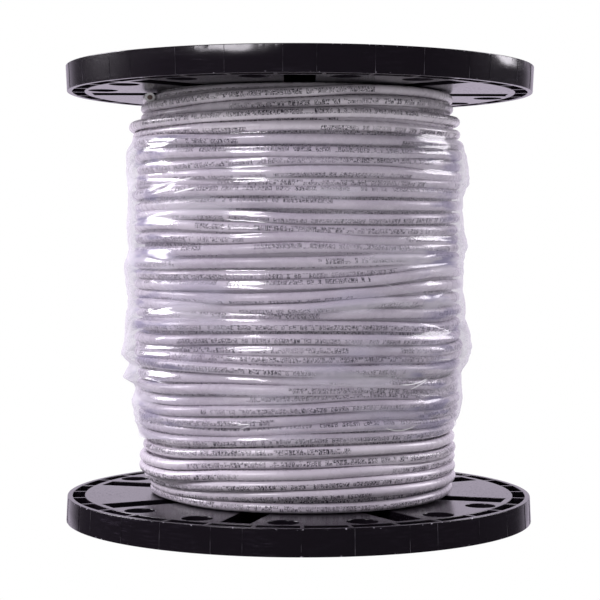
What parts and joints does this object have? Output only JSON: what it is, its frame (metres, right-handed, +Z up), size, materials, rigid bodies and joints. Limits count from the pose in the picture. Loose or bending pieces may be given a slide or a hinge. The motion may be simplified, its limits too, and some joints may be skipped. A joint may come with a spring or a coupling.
{
  "type": "reel of electrical wire",
  "caption": "Full plastic reel of building wire: wire wound on a barrel between two ribbed flanges with an arbor hole, under a sleeve of clear film.",
  "frame": {"origin": "centre of the reel's base, on the outer face of the lower flange", "axes": "+Z up along the reel's axis; -Y towards the picture's camera"},
  "size_m": [0.3044, 0.3044, 0.2946],
  "materials": {
    "flange_plastic": "moulded, semi-gloss, black",
    "wire_jacket": "smooth pale grey nylon",
    "film": "clear glossy film"
  },
  "bodies": {
    "root": {"flange_lower": "flange_plastic", "flange_upper": "flange_plastic", "barrel": "flange_plastic", "wire_winding": "wire_jacket", "clear_film": "film"}
  },
  "joints": []
}
